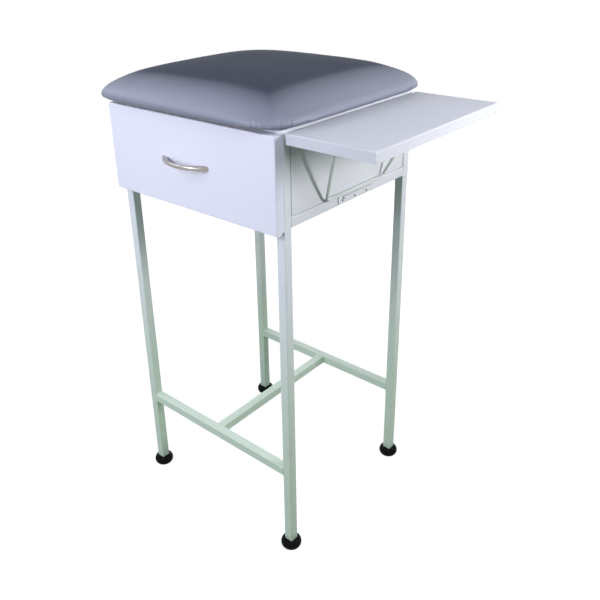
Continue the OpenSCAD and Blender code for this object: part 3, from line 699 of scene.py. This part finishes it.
def show(tree, out, for_other_rays, when_seen):
    """Sends one shader to the rays that see the background, and the other to all other rays."""
    mix = new_node(tree, "ShaderNodeMixShader")
    tree.links.new(seen_directly(tree), mix.inputs["Fac"])
    tree.links.new(for_other_rays.outputs[0], mix.inputs[1])
    tree.links.new(when_seen.outputs[0], mix.inputs[2])
    tree.links.new(mix.outputs[0], out.inputs["Surface"])


def backdrop_material():
    """Pale floor with the object's shadow, plain white away from it.

    Other rays find a green-grey floor, for the green undersides in the photograph.
    """
    mat = bpy.data.materials.new("floor_white")
    mat.use_nodes = True
    tree = mat.node_tree
    tree.nodes.clear()
    out = new_node(tree, "ShaderNodeOutputMaterial")
    plain = new_node(tree, "ShaderNodeBsdfDiffuse", FLOOR_BOUNCE)
    place = new_node(tree, "ShaderNodeTexCoord")
    size = new_node(tree, "ShaderNodeVectorMath")
    size.operation = "LENGTH"
    tree.links.new(place.outputs["Object"], size.inputs[0])
    glow = new_node(tree, "ShaderNodeEmission")
    fade = map_range(tree, size.outputs["Value"], 0.4, 1.2, 0.86, 1.0, smooth=True)
    tree.links.new(fade, glow.inputs["Strength"])
    shade = new_node(tree, "ShaderNodeBsdfDiffuse", (0.3, 0.3, 0.3, 1))
    both = new_node(tree, "ShaderNodeAddShader")
    tree.links.new(glow.outputs[0], both.inputs[0])
    tree.links.new(shade.outputs[0], both.inputs[1])
    show(tree, out, plain, both)
    return mat


def room_world():
    """A dim room; the camera, mirrors and glass see plain white instead."""
    world = bpy.data.worlds.new("room")
    bpy.context.scene.world = world
    world.use_nodes = True
    tree = world.node_tree
    tree.nodes.clear()
    out = new_node(tree, "ShaderNodeOutputWorld")
    split = new_node(tree, "ShaderNodeSeparateXYZ")
    tree.links.new(new_node(tree, "ShaderNodeTexCoord").outputs["Generated"], split.inputs[0])
    room = new_node(tree, "ShaderNodeBackground", (0.84, 0.89, 0.95, 1))
    dimness = map_range(tree, split.outputs["Z"], 0.45, 0.8, WALLS, CEILING, smooth=True)
    tree.links.new(dimness, room.inputs["Strength"])
    white = new_node(tree, "ShaderNodeBackground", (1, 1, 1, 1))
    white.inputs["Strength"].default_value = 1.0
    show(tree, out, room, white)


floor_mesh = bpy.data.meshes.new("floor")
floor_corners = [(x * FLOOR_HALF, y * FLOOR_HALF, 0) for x, y in ((-1, -1), (1, -1), (1, 1), (-1, 1))]
floor_mesh.from_pydata(floor_corners, [], [(0, 1, 2, 3)])
floor_mesh.materials.append(backdrop_material())
floor = bpy.data.objects.new("floor", floor_mesh)
bpy.context.scene.collection.objects.link(floor)
room_world()


# Lamps: place and aim in metres, size in metres, power in watts, colour

def area(name, place, aim, size, power, colour):
    data = bpy.data.lights.new(name, "AREA")
    data.shape = "RECTANGLE"
    data.size, data.size_y = size
    data.energy = power
    data.color = colour
    obj = bpy.data.objects.new(name, data)
    bpy.context.scene.collection.objects.link(obj)
    obj.location = place
    obj.rotation_euler = (Vector(aim) - Vector(place)).to_track_quat("-Z", "Y").to_euler()


area("light_front", (-0.3, -1.4, 1.42), (0.0, -0.2, 0.85), (0.5, 0.45), 9, (0.87, 0.86, 1.0))
area("light_low", (-0.1, -1.5, 0.99), (0.0, -0.2, 0.9), (0.6, 0.3), 5.5, (0.87, 0.86, 1.0))
area("light_right", (1.02, 0.26, 1.12), (0.15, 0.0, 0.86), (0.15, 0.25), 6.3, (1.0, 0.96, 1.0))
area("light_left", (-1.75, -1.1, 2.15), (-0.1, -0.1, 0.97), (1.8, 0.8), 22, (0.85, 0.86, 1.0))
area("light_back", (1.05, 1.8, 1.58), (0.1, 0.0, 0.97), (1.6, 0.7), 12, (0.86, 0.89, 1.0))
area("light_behind", (-1.3, 1.9, 0.55), (-0.1, 0.2, 0.75), (1.2, 0.8), 12, (0.92, 0.94, 1.0))
area("light_top", (0.92, -0.56, 1.9), (0.12, -0.19, 0.96), (0.7, 0.55), 7.5, (0.86, 0.88, 1.0))
